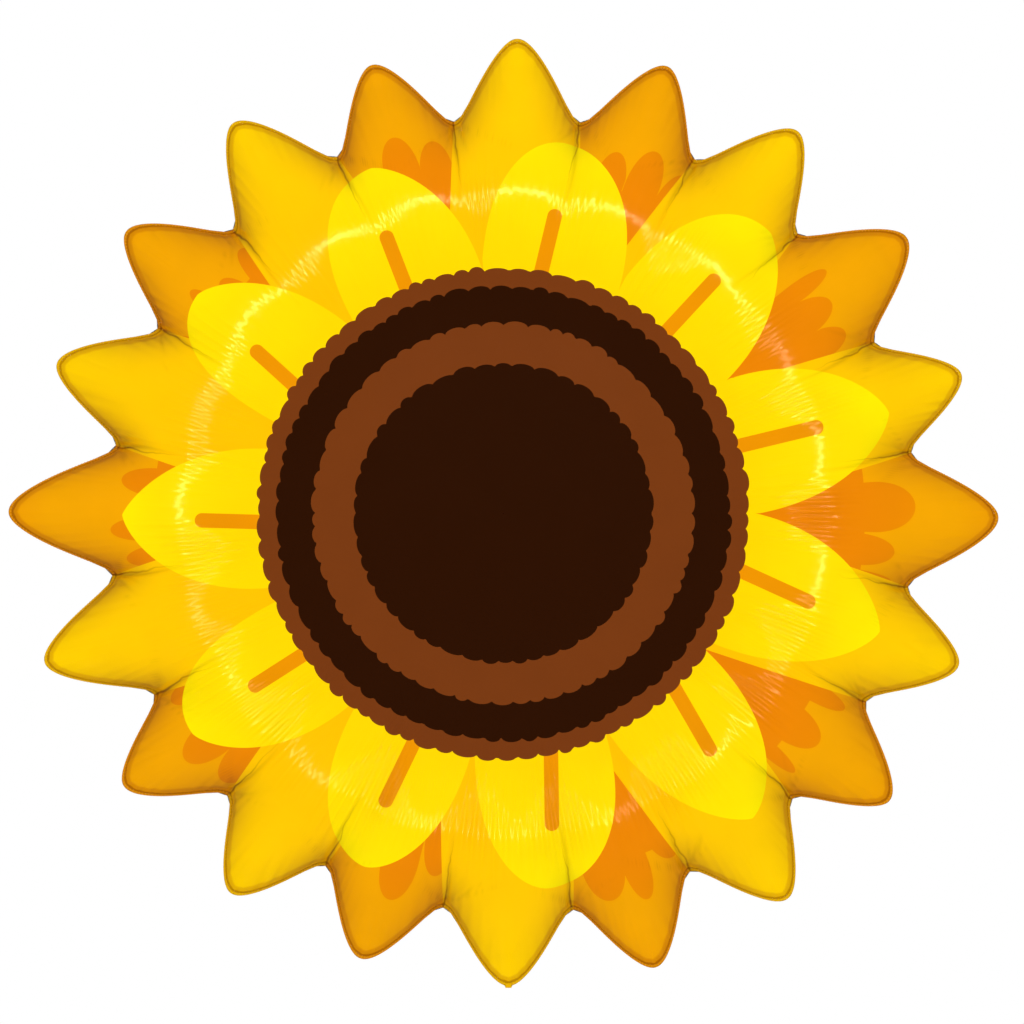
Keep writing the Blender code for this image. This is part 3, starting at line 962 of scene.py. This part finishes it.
    # Ink lies a little unevenly, in patches of about 40 mm.
    cloud = add(tree, "ShaderNodeTexNoise", {"Vector": place, "Scale": 25.0, "Detail": 3.0})
    patch = add(tree, "ShaderNodeMapRange", (cloud.outputs[0], 0.3, 0.7, 0.975, 1.02))
    toned = add(tree, VECTOR, {0: print_color, 3: patch.outputs[0]}, operation="SCALE")
    tree.links.new(toned.outputs[0], shader.inputs["Base Color"])
    # The film creeps into tiny streaks, 2 to 3 mm apart, that run out from the middle.
    turns = add(tree, MATH, (bearing, 95.0), operation="MULTIPLY").outputs[0]
    slow = add(tree, MATH, (radius, 30.0), operation="MULTIPLY").outputs[0]
    streaky = add(tree, "ShaderNodeCombineXYZ", (turns, slow, 0.0)).outputs[0]
    streaks = add(tree, "ShaderNodeTexNoise", {"Vector": streaky, "Scale": 1.0, "Detail": 2.0})
    rough = add(tree, "ShaderNodeMapRange", (streaks.outputs[0], 0.3, 0.7, 0.07, 0.11))
    tree.links.new(rough.outputs[0], shader.inputs["Roughness"])
    crinkle = add(tree, "ShaderNodeTexNoise", {"Vector": place, "Scale": 120.0, "Detail": 2.0})
    blend = add(tree, MATH, (streaks.outputs[0], crinkle.outputs[0]), operation="ADD").outputs[0]
    bump = add(tree, "ShaderNodeBump", {"Height": blend, "Distance": 0.00012, "Strength": 0.35})
    tree.links.new(bump.outputs[0], shader.inputs["Normal"])
    shader.inputs["Metallic"].default_value = settings.ink_glow
    shader.inputs["Specular IOR Level"].default_value = 0.30
    return material


def metallised_lining(name):
    """Vacuum-coated aluminium on the inner face of the film: bright, a little hazy from handling."""
    material, tree, shader = new_material(name)
    coords = add(tree, "ShaderNodeTexCoord").outputs["Object"]
    haze = add(tree, "ShaderNodeTexNoise", {"Vector": coords, "Scale": 60.0, "Detail": 3.0})
    rough = add(tree, "ShaderNodeMapRange", (haze.outputs[0], 0.3, 0.7, 0.22, 0.34))
    tree.links.new(rough.outputs[0], shader.inputs["Roughness"])
    shader.inputs["Base Color"].default_value = linear("#d3d6d8")
    shader.inputs["Metallic"].default_value = 1.0
    return material


def clear_valve_film(name):
    """Blown polyethylene film, clear and slightly milky, with soft lengthwise draw lines."""
    material, tree, shader = new_material(name)
    coords = add(tree, "ShaderNodeTexCoord").outputs["Object"]
    drawn = add(tree, "ShaderNodeMapping", {"Vector": coords, "Scale": (900.0, 900.0, 40.0)})
    lines = add(tree, "ShaderNodeTexNoise", {"Vector": drawn.outputs[0], "Scale": 1.0})
    rough = add(tree, "ShaderNodeMapRange", (lines.outputs[0], 0.3, 0.7, 0.28, 0.42))
    tree.links.new(rough.outputs[0], shader.inputs["Roughness"])
    shader.inputs["Base Color"].default_value = linear("#e6eaec")
    shader.inputs["Transmission Weight"].default_value = 0.6
    return material


def sealed_film(name):
    """The same printed polyester film where hot jaws sealed it: coloured darker than the print as painted
    shade, like the rest of the seal, with the gloss flattened by the jaws' fine teeth."""
    material, tree, shader = new_material(name)
    coords = add(tree, "ShaderNodeTexCoord").outputs["Object"]
    on_yellow = add(tree, "ShaderNodeAttribute", attribute_name="on_yellow").outputs["Fac"]
    # Painted shade: both colours darker than the petals' print, as along the rest of the seal.
    inks = {0: on_yellow, 6: linear("#dc8c02"), 7: linear("#e0ac02")}
    ink = add(tree, MIX, inks, data_type="RGBA")
    cloud = add(tree, "ShaderNodeTexNoise", {"Vector": coords, "Scale": 60.0, "Detail": 2.0})
    patch = add(tree, "ShaderNodeMapRange", (cloud.outputs[0], 0.3, 0.7, 0.94, 1.04))
    toned = add(tree, VECTOR, {0: ink.outputs[2], 3: patch.outputs[0]}, operation="SCALE")
    tree.links.new(toned.outputs[0], shader.inputs["Base Color"])
    rough = add(tree, "ShaderNodeMapRange", (cloud.outputs[0], 0.3, 0.7, 0.22, 0.34))
    tree.links.new(rough.outputs[0], shader.inputs["Roughness"])
    shader.inputs["Specular IOR Level"].default_value = 0.35
    return material


def crimp_tree(material):
    """Small ridges set square to a path at an even pitch, as hot jaws press them into a seal."""
    tree = bpy.data.node_groups.new("seal_crimps", "GeometryNodeTree")
    tree.is_modifier = True
    face = tree.interface
    face.new_socket("Path", in_out="INPUT", socket_type="NodeSocketGeometry")
    for name in ("Pitch", "Length", "Width", "Height"):
        face.new_socket(name, in_out="INPUT", socket_type="NodeSocketFloat")
    face.new_socket("Outward", in_out="INPUT", socket_type="NodeSocketVector")
    face.new_socket("Crimps", in_out="OUTPUT", socket_type="NodeSocketGeometry")
    start = add(tree, "NodeGroupInput").outputs
    path = add(tree, "GeometryNodeMeshToCurve", {"Mesh": start["Path"]}).outputs[0]
    evenly = add(tree, "GeometryNodeResampleCurve", {"Curve": path, "Length": start["Pitch"]},
                 mode="LENGTH").outputs[0]
    tangent = add(tree, "GeometryNodeInputTangent").outputs[0]
    along = add(tree, "FunctionNodeAlignRotationToVector", {"Vector": tangent}, axis="X").outputs[0]
    standing = add(tree, "FunctionNodeAlignRotationToVector",
                   {"Rotation": along, "Vector": start["Outward"]}, axis="Z", pivot_axis="X").outputs[0]
    ridge = add(tree, "GeometryNodeMeshUVSphere", {"Segments": 8, "Rings": 4, "Radius": 0.5}).outputs[0]
    size = add(tree, "ShaderNodeCombineXYZ", (start["Width"], start["Length"], start["Height"])).outputs[0]
    placed = add(tree, "GeometryNodeInstanceOnPoints",
                 {"Points": evenly, "Instance": ridge, "Rotation": standing, "Scale": size}).outputs[0]
    real = add(tree, "GeometryNodeRealizeInstances", {"Geometry": placed}).outputs[0]
    smooth = add(tree, "GeometryNodeSetShadeSmooth", {"Geometry": real}).outputs[0]
    finished = add(tree, "GeometryNodeSetMaterial", {"Geometry": smooth, "Material": material}).outputs[0]
    add(tree, "NodeGroupOutput", {"Crimps": finished})
    return tree


def seal_path(side):
    """The middle of the flat seal as a closed line of edges, which knows the yellow petals."""
    bearings, radii = stations(SKIN_STATIONS)
    reach = radii + SEAL_WIDTH * 0.5
    height = np.full(len(bearings), side * (FLAT_GAP + FILM))
    points = np.stack([MIDDLE.x + reach * np.cos(bearings), height,
                       MIDDLE.z + reach * np.sin(bearings)], axis=1)
    count = len(points)
    mesh = bpy.data.meshes.new("seal_path")
    mesh.from_pydata(points, [(here, (here + 1) % count) for here in range(count)], [])
    number = np.arange(count) // SKIN_STATIONS
    tone = mesh.attributes.new("on_yellow", "FLOAT", "POINT")
    tone.data.foreach_set("value", ((number - TOP_PETAL) % 2 == 0).astype(np.float32))
    path = bpy.data.objects.new("seal_path", mesh)
    bpy.context.scene.collection.objects.link(path)
    return path


def studio_paper(name):
    """Matt white studio paper: near white, with a faint fibre mottle."""
    material, tree, shader = new_material(name)
    coords = add(tree, "ShaderNodeTexCoord").outputs["Object"]
    fibre = add(tree, "ShaderNodeTexNoise", {"Vector": coords, "Scale": 40.0, "Detail": 4.0})
    shade = add(tree, "ShaderNodeMapRange", (fibre.outputs[0], 0.3, 0.7, 0.90, 0.93))
    tree.links.new(shade.outputs[0], shader.inputs["Base Color"])
    shader.inputs["Roughness"].default_value = 0.9
    return material


# Add-on -------------------------------------------------------------------------------------------


class BalloonFoilSettings(bpy.types.PropertyGroup):
    """Sizes of the film and of what creases it."""

    film_excess: bpy.props.FloatProperty(
        name="Film excess", description="Size of the flat cut over the plain inflated shape",
        default=1.02, min=1.0, max=1.1)
    pressure: bpy.props.FloatProperty(
        name="Pressure", description="How hard the gas puffs the petals", default=300.0, min=0.0)
    slack: bpy.props.FloatProperty(
        name="Slack", description="Share of the simulated puffing that is left when the film is taut",
        default=0.25, min=0.0, max=1.0)
    frames: bpy.props.IntProperty(
        name="Frames", description="Length of the inflation", default=30, min=1)
    crease_length: bpy.props.FloatProperty(
        name="Crease length", description="How far the notch creases run in", default=0.075,
        unit="LENGTH")
    crease_depth: bpy.props.FloatProperty(
        name="Crease depth", description="Depth of the notch creases", default=0.0024, unit="LENGTH")
    pleat_pitch: bpy.props.FloatProperty(
        name="Pleat pitch", description="Between the fine radial pleats", default=0.0080,
        unit="LENGTH")
    pleat_depth: bpy.props.FloatProperty(
        name="Pleat depth", description="Depth of the fine radial pleats", default=0.00068,
        unit="LENGTH")
    pucker_pitch: bpy.props.FloatProperty(
        name="Pucker pitch", description="Between the short puckers along the seal", default=0.0075,
        unit="LENGTH")
    pucker_depth: bpy.props.FloatProperty(
        name="Pucker depth", description="Depth of the puckers along the seal", default=0.0005,
        unit="LENGTH")
    dent_depth: bpy.props.FloatProperty(
        name="Dent depth", description="Depth of the folds on each petal", default=0.0009,
        unit="LENGTH")
    crimp_pitch: bpy.props.FloatProperty(
        name="Crimp pitch", description="Between the ridges pressed into the seal", default=0.0026,
        unit="LENGTH")
    crimp_height: bpy.props.FloatProperty(
        name="Crimp height", description="Height of the ridges pressed into the seal, half sunk",
        default=0.0003, unit="LENGTH")
    ink_glow: bpy.props.FloatProperty(
        name="Ink glow", description="How much of the metallised layer shows through the ink",
        default=0.08, min=0.0, max=1.0)


film_cache = {}


def puffed_film(settings):
    """The puffed film, made once: both sheets are cut from one outline."""
    if not film_cache:
        film_cache["film"] = fine_film(*inflated(settings))
    return film_cache["film"]


class BALLOON_OT_sheets(bpy.types.Operator):
    """Make the two printed sheets, puffed, creased and sealed"""

    bl_idname = "balloon.sheets"
    bl_label = "Printed sheets"

    def execute(self, context):
        settings = context.scene.balloon_foil
        shares, film = puffed_film(settings)
        lining = metallised_lining("metallised_inner_face")
        for side, seed in ((-1, 3), (1, 11)):
            where = "front" if side < 0 else "back"
            mesh, skin, inner = sheet_mesh(side, film, shares, settings, seed)
            printed = printed_film(f"{where}_printed_metallised_film", settings)
            piece = finish_sheet(f"{where}_sheet", side, mesh, skin, inner, [printed, lining])
            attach(piece, "root")
            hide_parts(f"{where}_foil")
        return {"FINISHED"}


class BALLOON_OT_crimps(bpy.types.Operator):
    """Press the row of fine ridges into the seal of each sheet"""

    bl_idname = "balloon.crimps"
    bl_label = "Seal crimps"

    def execute(self, context):
        settings = context.scene.balloon_foil
        material = sealed_film("heat_sealed_printed_film")
        tree = crimp_tree(material)
        for side, where in ((-1, "front"), (1, "back")):
            path = seal_path(side)
            maker = path.modifiers.new("crimps", "NODES")
            maker.node_group = tree
            sizes = {"Pitch": settings.crimp_pitch, "Length": SEAL_WIDTH * 0.72,
                     "Width": settings.crimp_pitch * 0.45, "Height": settings.crimp_height,
                     "Outward": (0.0, float(side), 0.0)}
            for item in tree.interface.items_tree:
                if item.name in sizes:
                    maker[item.identifier] = sizes[item.name]
            graph = context.evaluated_depsgraph_get()
            data = bpy.data.meshes.new_from_object(path.evaluated_get(graph))
            data.name = f"{where}_seal_crimps"
            piece = bpy.data.objects.new(f"{where}_seal_crimps", data)
            context.scene.collection.objects.link(piece)
            line = path.data
            bpy.data.objects.remove(path, do_unlink=True)
            bpy.data.meshes.remove(line)
            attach(piece, "root")
            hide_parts(f"{where}_foil")
        return {"FINISHED"}


class BALLOON_OT_valve(bpy.types.Operator):
    """Finish the two films of the self-sealing valve"""

    bl_idname = "balloon.valve"
    bl_label = "Valve films"

    def execute(self, context):
        material = clear_valve_film("clear_polyethylene_film")
        for name in ("valve_film_front", "valve_film_back"):
            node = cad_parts[name]
            node.data.materials.clear()
            node.data.materials.append(material)
        return {"FINISHED"}


class BALLOON_OT_stage(bpy.types.Operator):
    """Make the floor, the soft lights and the camera"""

    bl_idname = "balloon.stage"
    bl_label = "Stage"

    def execute(self, context):
        scene = context.scene
        mesh = bmesh.new()
        bmesh.ops.create_circle(mesh, cap_ends=True, radius=7.0, segments=96)
        data = bpy.data.meshes.new("floor")
        mesh.to_mesh(data)
        mesh.free()
        data.transform(Matrix.Translation((0, 0, FLOOR_LEVEL)))
        data.materials.append(studio_paper("matt_studio_paper"))
        floor = bpy.data.objects.new("floor", data)
        scene.collection.objects.link(floor)
        floor.visible_glossy = False
        aim = Vector((MIDDLE.x, 0, MIDDLE.z))
        lights = [("front_softbox", (0.0, -6.5, 1.9), 4.0, 3.0, 152, False),
                  ("back_softbox", (0.0, 6.5, 1.9), 4.0, 3.0, 152, False),
                  ("back_window", (0.0, 5.5, 0.95), 1.4, 0.5, 26, True)]
        reach = RING_REACH * math.sin(RING_ANGLE)
        for number in range(RING_LAMPS):
            turn = 2 * math.pi * number / RING_LAMPS
            place = aim + Vector((reach * math.cos(turn), -RING_REACH * math.cos(RING_ANGLE),
                                  reach * math.sin(turn)))
            power = 1.2 + 0.4 * math.sin(turn)
            lights.append((f"strip_{number}", place, 0.026, 1.3, power, True))
        for name, place, width, height, power, glints in lights:
            light = bpy.data.lights.new(name, "AREA")
            light.shape = "RECTANGLE"
            light.size, light.size_y = width, height
            light.energy = power
            lamp = bpy.data.objects.new(name, light)
            lamp.location = place
            inward = (aim - Vector(place)).normalized()
            if glints:
                tall = inward.cross(Vector((0, 1, 0))).normalized()
                wide = inward.cross(tall).normalized()
            else:
                wide = inward.cross(Vector((0, 0, 1))).normalized()
                tall = wide.cross(inward).normalized()
            lamp.rotation_euler = Matrix((wide, tall, -inward)).transposed().to_euler()
            lamp.visible_camera = False
            lamp.visible_glossy = glints
            scene.collection.objects.link(lamp)
        world = bpy.data.worlds.new("studio")
        world.use_nodes = True
        tree = world.node_tree
        ground = tree.nodes["Background"]  # white for the eye, dim for gloss
        ground.inputs[0].default_value = (1, 1, 1, 1)
        path = add(tree, "ShaderNodeLightPath").outputs
        seen = add(tree, MATH, (path["Is Camera Ray"], 1.0 - WORLD_GLOSS), operation="MULTIPLY").outputs[0]
        soft = add(tree, MATH, (path["Is Diffuse Ray"], WORLD_FILL, seen),
                   operation="MULTIPLY_ADD").outputs[0]
        strength = add(tree, MATH, (soft, WORLD_GLOSS), operation="ADD").outputs[0]
        tree.links.new(strength, ground.inputs[1])
        scene.world = world
        scene.view_settings.view_transform = "Standard"
        lens = bpy.data.cameras.new("camera")
        lens.lens = 250
        lens.sensor_width = 36
        camera = bpy.data.objects.new("camera", lens)
        distance = VIEW_WIDTH * lens.lens / lens.sensor_width
        camera.location = (MIDDLE.x + VIEW_SHIFT[0], -distance, MIDDLE.z + VIEW_SHIFT[1])
        camera.rotation_euler = (math.pi / 2, 0, 0)
        scene.collection.objects.link(camera)
        scene.camera = camera
        return {"FINISHED"}


class BALLOON_PT_panel(bpy.types.Panel):
    """Buttons for each step, and the sizes they read"""

    bl_idname = "BALLOON_PT_panel"
    bl_label = "Sunflower balloon"
    bl_space_type = "VIEW_3D"
    bl_region_type = "UI"
    bl_category = "Balloon"

    def draw(self, context):
        for name in BalloonFoilSettings.__annotations__:
            self.layout.prop(context.scene.balloon_foil, name)
        for operator in (BALLOON_OT_stage, BALLOON_OT_sheets, BALLOON_OT_crimps, BALLOON_OT_valve):
            self.layout.operator(operator.bl_idname)


CLASSES = (BalloonFoilSettings, BALLOON_OT_sheets, BALLOON_OT_crimps, BALLOON_OT_valve,
           BALLOON_OT_stage, BALLOON_PT_panel)


def register():
    for made in CLASSES:
        bpy.utils.register_class(made)
    bpy.types.Scene.balloon_foil = bpy.props.PointerProperty(type=BalloonFoilSettings)


def unregister():
    del bpy.types.Scene.balloon_foil
    for made in reversed(CLASSES):
        bpy.utils.unregister_class(made)


def main():
    register()
    bpy.ops.balloon.stage()
    bpy.ops.balloon.sheets()
    bpy.ops.balloon.crimps()
    bpy.ops.balloon.valve()


if __name__ == "__main__":
    main()
